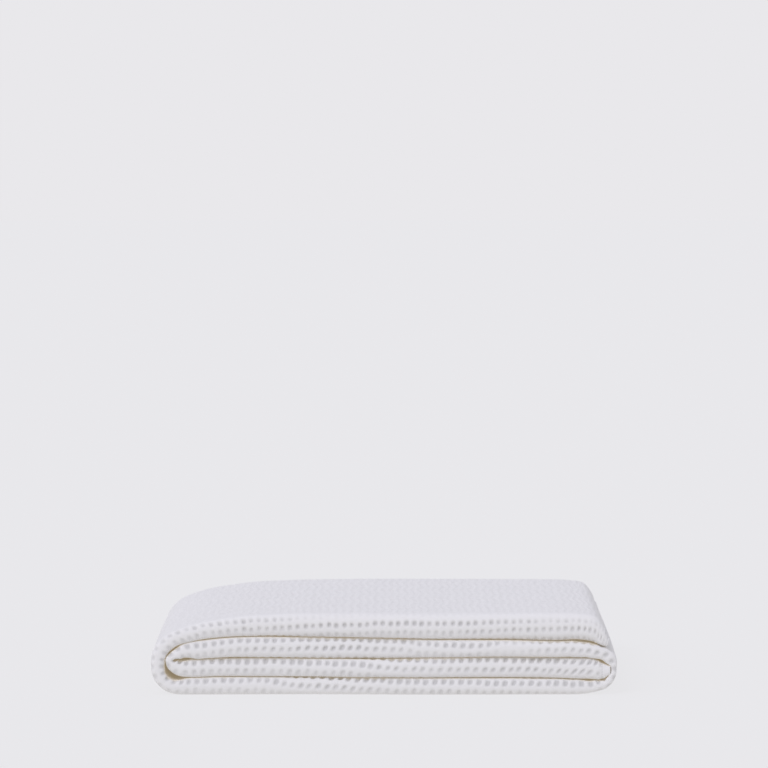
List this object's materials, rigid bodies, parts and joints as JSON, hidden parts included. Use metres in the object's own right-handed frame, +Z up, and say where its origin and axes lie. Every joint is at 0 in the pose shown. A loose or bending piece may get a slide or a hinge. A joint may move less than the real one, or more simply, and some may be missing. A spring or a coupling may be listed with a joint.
{
  "type": "folded waffle weave cotton blanket",
  "caption": "Cotton blanket in a deep waffle weave, folded lengthwise and then rolled flat into a neat rectangular pile; it lies on a shelf, bed or table.",
  "frame": {"origin": "middle of the pile's underside, on the surface it lies on", "axes": "+X to the right along the long side seen from the front, +Y from the folded front edge to the back hems, +Z up"},
  "size_m": [0.5046, 0.3786, 0.0886],
  "materials": {
    "waffle_cotton": "matte white cotton in a deep square waffle weave"
  },
  "bodies": {
    "root": {"blanket": "waffle_cotton"}
  },
  "joints": []
}
